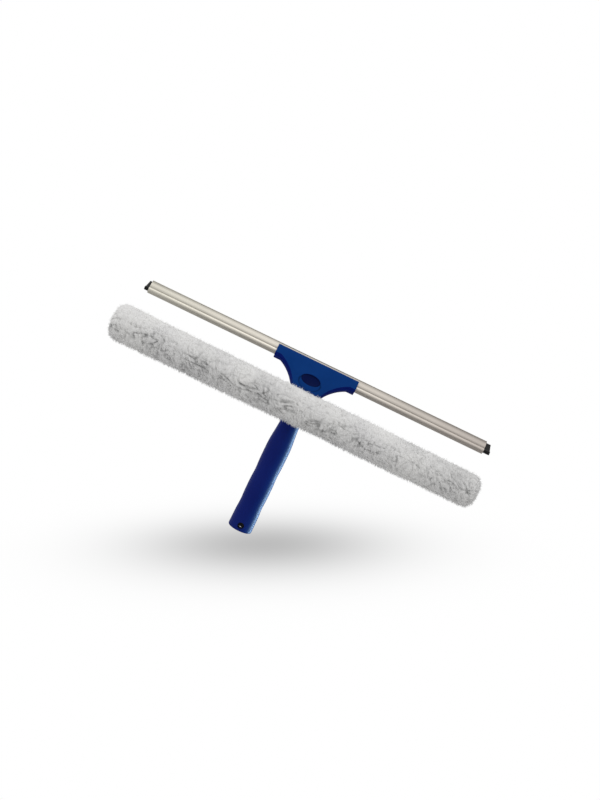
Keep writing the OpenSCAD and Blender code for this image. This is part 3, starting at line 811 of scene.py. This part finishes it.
def tuft_tree(material):
    """Geometry nodes: flat curved locks spread over the skin, combed downwards with a random stray."""
    tree = bpy.data.node_groups.new("tufts", "GeometryNodeTree")
    sockets = (("Skin", "NodeSocketGeometry", None),
               ("Tufts per square metre", "NodeSocketFloat", LOCKS_PER_SQUARE_METRE),
               ("Tuft length", "NodeSocketFloat", LOCK_LENGTH * MM),
               ("Tuft width", "NodeSocketFloat", LOCK_WIDTH * MM),
               ("Bend", "NodeSocketFloat", LOCK_BEND * MM),
               ("Hang", "NodeSocketVector", LOCK_HANG * HANG),
               ("Seed", "NodeSocketInt", 5))
    for name, kind, value in sockets:
        made = tree.interface.new_socket(name, in_out="INPUT", socket_type=kind)
        if value is not None:
            made.default_value = value
    tree.interface.new_socket("Tufts", in_out="OUTPUT", socket_type="NodeSocketGeometry")
    given = put(tree, "NodeGroupInput", {}).outputs
    blank = put(tree, "GeometryNodeMeshGrid",
                {"Size X": 1.0, "Size Y": 1.0, "Vertices X": 2, "Vertices Y": 3})
    position = put(tree, "GeometryNodeInputPosition", {})
    parts = put(tree, "ShaderNodeSeparateXYZ", {"Vector": position.outputs["Position"]})
    narrowing = put(tree, "ShaderNodeMath",
                    {0: parts.outputs["Y"], 1: LOCK_TIP_SHARE - 1.0, 2: (1.0 + LOCK_TIP_SHARE) / 2},
                    operation="MULTIPLY_ADD")
    wide = put(tree, "ShaderNodeMath", {0: parts.outputs["X"], 1: narrowing.outputs["Value"]},
               operation="MULTIPLY")
    along = put(tree, "ShaderNodeMath", {0: parts.outputs["Y"], 1: 0.5}, operation="ADD")
    square = put(tree, "ShaderNodeMath", {0: along.outputs["Value"], 1: along.outputs["Value"]},
                 operation="MULTIPLY")
    shape = put(tree, "ShaderNodeCombineXYZ",
                {"X": wide.outputs["Value"], "Y": square.outputs["Value"], "Z": along.outputs["Value"]})
    sizes = put(tree, "ShaderNodeCombineXYZ",
                {"X": given["Tuft width"], "Y": given["Bend"], "Z": given["Tuft length"]})
    lock_shape = put(tree, "ShaderNodeVectorMath", {0: shape.outputs["Vector"], 1: sizes.outputs["Vector"]},
                     operation="MULTIPLY")
    curled = put(tree, "GeometryNodeSetPosition",
                 {"Geometry": blank.outputs["Mesh"], "Position": lock_shape.outputs["Vector"]})
    spread = put(tree, "GeometryNodeDistributePointsOnFaces",
                 {"Mesh": given["Skin"], "Density": given["Tufts per square metre"], "Seed": given["Seed"]})
    stray = put(tree, "FunctionNodeRandomValue", {"Seed": given["Seed"]}, data_type="FLOAT_VECTOR")
    stray.inputs[0].default_value = (-LOCK_STRAY, -LOCK_STRAY, -LOCK_STRAY)
    stray.inputs[1].default_value = (LOCK_STRAY, LOCK_STRAY, LOCK_STRAY)
    hanging = put(tree, "ShaderNodeVectorMath", {0: given["Hang"], 1: stray.outputs[0]}, operation="ADD")
    way = put(tree, "ShaderNodeVectorMath", {0: hanging.outputs[0], 1: spread.outputs["Normal"]},
              operation="ADD")
    combed = put(tree, "FunctionNodeAlignRotationToVector", {"Vector": way.outputs[0]}, axis="Z")
    twist = put(tree, "FunctionNodeRandomValue", {"Seed": 3}, data_type="FLOAT_VECTOR")
    twist.inputs[0].default_value = (0.0, 0.0, 0.0)
    twist.inputs[1].default_value = (0.0, 0.0, math.tau)
    euler = put(tree, "FunctionNodeEulerToRotation", {0: twist.outputs[0]})
    turned_lock = put(tree, "FunctionNodeRotateRotation",
                      {"Rotation": combed.outputs["Rotation"], "Rotate By": euler.outputs["Rotation"]},
                      rotation_space="LOCAL")
    size = put(tree, "FunctionNodeRandomValue", {"Seed": 9}, data_type="FLOAT_VECTOR")
    size.inputs[0].default_value = (0.7, 0.7, 0.6)
    size.inputs[1].default_value = (1.3, 1.3, 1.15)
    placed = put(tree, "GeometryNodeInstanceOnPoints",
                 {"Points": spread.outputs["Points"], "Instance": curled.outputs["Geometry"],
                  "Rotation": turned_lock.outputs["Rotation"], "Scale": size.outputs[0]})
    real = put(tree, "GeometryNodeRealizeInstances", {"Geometry": placed.outputs["Instances"]})
    even = put(tree, "GeometryNodeSetShadeSmooth", {"Geometry": real.outputs["Geometry"]})
    painted = put(tree, "GeometryNodeSetMaterial",
                  {"Geometry": even.outputs["Geometry"], "Material": material})
    put(tree, "NodeGroupOutput", {"Tufts": painted.outputs["Geometry"]})
    return tree


def sleeve_tufts(body, material):
    """Locks of pile that stand proud of the sleeve's body and break its outline."""
    made = bpy.data.objects.new("sleeve_tufts", body.data.copy())
    bpy.context.scene.collection.objects.link(made)
    grown = made.modifiers.new("tufts", "NODES")
    grown.node_group = tuft_tree(material)
    bake_modifiers(made)
    return made


def washer_sleeve(material, tip_material):
    """The sleeve's matted skin, and the locks that stand on it."""
    body = sleeve_body(material)
    tufts = sleeve_tufts(body, tip_material)
    finish(body, "washer", "pile_fabric", material, "sleeve_pile")
    finish(tufts, "washer", "pile_fabric", tip_material)


# Stage

def camera_axes():
    """The photograph's right, up and away directions."""
    elevation = math.radians(CAMERA_ELEVATION)
    roll = math.radians(CAMERA_ROLL)
    ahead = Vector((0, math.cos(elevation), -math.sin(elevation)))
    level_right = Vector((1, 0, 0))
    level_up = level_right.cross(ahead)
    right = math.cos(roll) * level_right + math.sin(roll) * level_up
    up = -math.sin(roll) * level_right + math.cos(roll) * level_up
    return right, up, ahead


def add_camera():
    """The camera that sees the tool as the photograph does."""
    right, up, ahead = camera_axes()
    data = bpy.data.cameras.new("camera")
    data.sensor_fit = "VERTICAL"
    data.sensor_height = SENSOR_HEIGHT
    data.lens = SENSOR_HEIGHT * FOCAL_PIXELS / PICTURE_HEIGHT
    data.clip_start = 0.05
    data.clip_end = 50
    camera = bpy.data.objects.new("camera", data)
    turn = Matrix((right, up, -ahead)).transposed().to_4x4()
    camera.matrix_world = Matrix.Translation((CAMERA_AIM - CAMERA_DISTANCE * ahead) * MM) @ turn
    bpy.context.scene.collection.objects.link(camera)
    bpy.context.scene.camera = camera


def add_lamp(name, right_way, up_way, near_way, distance, size, power):
    """A square soft lamp, placed from the object in the photograph's right, up and near directions."""
    right, up, ahead = camera_axes()
    way = (right * right_way + up * up_way - ahead * near_way).normalized()
    data = bpy.data.lights.new(name, "AREA")
    data.size = size
    data.energy = power
    lamp = bpy.data.objects.new(name, data)
    aim = CAMERA_AIM * MM
    turn = way.to_track_quat("Z", "Y").to_matrix().to_4x4()
    lamp.matrix_world = Matrix.Translation(aim + way * distance) @ turn
    bpy.context.scene.collection.objects.link(lamp)


def add_side_strip(name, lit, way, power, tone, gleam):
    """A tall lamp beside one upright piece, for its gleam alone or for its dull light alone."""
    data = bpy.data.lights.new(name, "AREA")
    data.shape = "RECTANGLE"
    data.size = STRIP_WIDTH
    data.size_y = STRIP_HEIGHT
    data.energy = power
    data.color = tone
    lamp = bpy.data.objects.new(name, data)
    middle = Vector((0, 0, GRIP_LENGTH / 2)) * MM
    turn = way.to_track_quat("Z", "Y").to_matrix().to_4x4()
    lamp.matrix_world = Matrix.Translation(middle + STRIP_DISTANCE * way.normalized()) @ turn
    lamp.visible_camera = False
    lamp.visible_diffuse = not gleam
    lamp.visible_glossy = gleam
    bpy.context.scene.collection.objects.link(lamp)
    only = bpy.data.collections.new("lit_by_" + name)
    only.objects.link(lit)
    lamp.light_linking.receiver_collection = only
    lamp.light_linking.blocker_collection = only


def white_surround():
    """White seen by the camera and in reflections, and a weaker even light on everything."""
    world = bpy.data.worlds.new("surround")
    bpy.context.scene.world = world
    world.use_nodes = True
    tree = world.node_tree
    path = put(tree, "ShaderNodeLightPath", {})
    seen = put(tree, "ShaderNodeMath",
               {0: path.outputs["Is Camera Ray"], 1: path.outputs["Is Transmission Ray"]},
               operation="MAXIMUM")
    shown = put(tree, "ShaderNodeMath",
                {0: seen.outputs["Value"], 1: path.outputs["Is Glossy Ray"]}, operation="MAXIMUM")
    level = put(tree, "ShaderNodeMapRange",
                {"Value": shown.outputs["Value"], "To Min": SURROUND_FILL, "To Max": 1.0})
    background = tree.nodes["Background"]
    background.inputs["Color"].default_value = (1, 1, 1, 1)
    tree.links.new(level.outputs["Result"], background.inputs["Strength"])


def shadow_tone(tree, normal, across, origin):
    """Brightness of the floor: white, with one soft oval shadow under the tool."""
    right, up, ahead = camera_axes()
    eye = CAMERA_AIM - CAMERA_DISTANCE * ahead
    from_middle = SHADOW_MIDDLE - Vector((PICTURE_WIDTH, PICTURE_HEIGHT)) / 2
    ray = ahead + (right * from_middle.x - up * from_middle.y) / FOCAL_PIXELS
    reach = (origin - eye).dot(normal) / ray.dot(normal)
    middle = eye + reach * ray
    pixel = reach / FOCAL_PIXELS
    slant = abs(ray.normalized().dot(normal))
    sizes = ((right, SHADOW_SPREAD.x * pixel), (across, SHADOW_SPREAD.y * pixel / slant))
    place = put(tree, "ShaderNodeVectorMath", {0: place_of(tree), 1: middle * MM}, operation="SUBTRACT")
    squares = []
    for way, spread in sizes:
        along = put(tree, "ShaderNodeVectorMath", {0: place.outputs["Vector"], 1: way / (spread * MM)},
                    operation="DOT_PRODUCT")
        squares.append(put(tree, "ShaderNodeMath", {0: along.outputs["Value"], 1: along.outputs["Value"]},
                           operation="MULTIPLY").outputs["Value"])
    total = put(tree, "ShaderNodeMath", {0: squares[0], 1: squares[1]}, operation="ADD")
    half = put(tree, "ShaderNodeMath", {0: total.outputs["Value"], 1: -0.5}, operation="MULTIPLY")
    fall = put(tree, "ShaderNodeMath", {0: half.outputs["Value"]}, operation="EXPONENT")
    tone = put(tree, "ShaderNodeMapRange",
               {"Value": fall.outputs["Value"], "To Min": 1.0, "To Max": 1.0 - SHADOW_DEPTH})
    return tone.outputs["Result"]


def pale_floor():
    """A white floor below the tool with its soft shadow; other rays see it as a dull surface."""
    right, up, ahead = camera_axes()
    tilt = math.radians(FLOOR_TILT)
    normal = up * math.cos(tilt) - ahead * math.sin(tilt)
    across = up * math.sin(tilt) + ahead * math.cos(tilt)
    origin = -FLOOR_DROP * normal
    bm = bmesh.new()
    bmesh.ops.create_circle(bm, cap_ends=True, segments=96, radius=FLOOR_RADIUS)
    place = Matrix.Translation(origin) @ normal.to_track_quat("Z", "Y").to_matrix().to_4x4()
    bmesh.ops.transform(bm, matrix=place, verts=bm.verts)
    floor = object_from("floor", bm)
    made = bpy.data.materials.new("floor_paint")
    made.use_nodes = True
    tree = made.node_tree
    tree.nodes.clear()
    path = put(tree, "ShaderNodeLightPath", {})
    facing = put(tree, "ShaderNodeNewGeometry", {})
    paint = put(tree, "ShaderNodeBsdfDiffuse", {"Color": (FLOOR_BOUNCE, FLOOR_BOUNCE, FLOOR_BOUNCE, 1)})
    glow = put(tree, "ShaderNodeEmission", {"Strength": shadow_tone(tree, normal, across, origin)})
    seen = put(tree, "ShaderNodeMixShader",
               {"Fac": path.outputs["Is Camera Ray"], 1: paint.outputs["BSDF"], 2: glow.outputs["Emission"]})
    clear = put(tree, "ShaderNodeBsdfTransparent", {})
    both = put(tree, "ShaderNodeMixShader",
               {"Fac": facing.outputs["Backfacing"], 1: seen.outputs["Shader"], 2: clear.outputs["BSDF"]})
    put(tree, "ShaderNodeOutputMaterial", {"Surface": both.outputs["Shader"]})
    floor.data.materials.append(made)


def light_stage():
    """The camera, the surround and floor, and the lamps that light the whole tool."""
    bpy.context.scene.view_settings.view_transform = "Standard"
    add_camera()
    white_surround()
    pale_floor()
    add_lamp("key", right_way=0.3, up_way=1.0, near_way=0.6, distance=1.6, size=1.2, power=5.2)
    add_lamp("behind", right_way=-0.4, up_way=0.7, near_way=-1.0, distance=1.8, size=1.0, power=4.0)


def build():
    """The stage, the materials and every visible piece."""
    light_stage()

    navy = moulded_plastic("grip_plastic_finish", dark=(0.004, 0.012, 0.13), light=(0.005, 0.015, 0.15),
                           roughness=0.41, grain=1400.0, relief=0.003, specular=0.05)
    blue = moulded_plastic("head_plastic_finish", dark=(0.003, 0.034, 0.17), light=(0.004, 0.040, 0.19),
                           roughness=0.70, grain=900.0, relief=0.02, specular=0.03, shade=head_shade)
    button = moulded_plastic("button_plastic_finish", dark=(0.002, 0.006, 0.050), light=(0.003, 0.008, 0.06),
                             roughness=0.30, grain=900.0, relief=0.02, specular=0.02)
    black = moulded_plastic("inner_plastic_finish", dark=(0.012, 0.012, 0.013), light=(0.022, 0.022, 0.024),
                            roughness=0.42, grain=1200.0, relief=0.03)
    white = moulded_plastic("tube_plastic_finish", dark=(0.74, 0.74, 0.72), light=(0.80, 0.80, 0.78),
                            roughness=0.38, grain=900.0, relief=0.02)
    metal = drawn_aluminium()
    steel = plated_steel()
    rubber = black_rubber("blade_rubber_finish", tone=0.006, roughness=0.45)
    pad = black_rubber("pad_rubber_finish", tone=0.020, roughness=0.7)
    pile = plush("pile_fabric_finish")
    locks = plush("pile_locks_finish", locks=True)
    backing = knit("backing_fabric_finish", pitch=1.1)
    tape = knit("strip_fabric_finish", pitch=0.7)

    grip = finished_grip(navy)
    add_side_strip("grip_gleam", grip, Vector((0.87, 0.5, 0)), power=11.0, tone=(0.5, 0.8, 1.0), gleam=True)
    add_side_strip("grip_side", grip, Vector((1.0, 0.1, 0)), power=2.8, tone=(0.1, 1.0, 0.4), gleam=False)
    for node, width, body, slot, material in (
            ("head_frame", 0.5, "handle", "head_plastic", blue),
            ("release_button", 0.5, "button", "button_plastic", button),
            ("tbar_hub", 0.5, "washer", "head_plastic", blue),
            ("tbar_cap_left", 0.6, "washer", "inner_plastic", black),
            ("tbar_cap_right", 0.6, "washer", "inner_plastic", black),
            ("lock_shoe", 0.25, "shoe", "inner_plastic", black)):
        finish(rounded_copy(node, width), body, slot, material, node)
    head_cover(blue)
    squeegee_channel(metal)
    rubber_blade(rubber)
    washer_sleeve(pile, locks)

    for node, material in (("pole_liner", black), ("grip_screw", steel), ("cover_screws", steel),
                           ("brake_pad", pad), ("shoe_spring", steel), ("rubber_lock_screw", steel),
                           ("tbar_tube", white), ("hub_screws", steel), ("sleeve_backing", backing),
                           ("closure_hook_strip", tape), ("closure_loop_strip", tape)):
        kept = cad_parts[node]
        kept.data.materials.clear()
        kept.data.materials.append(material)


build()
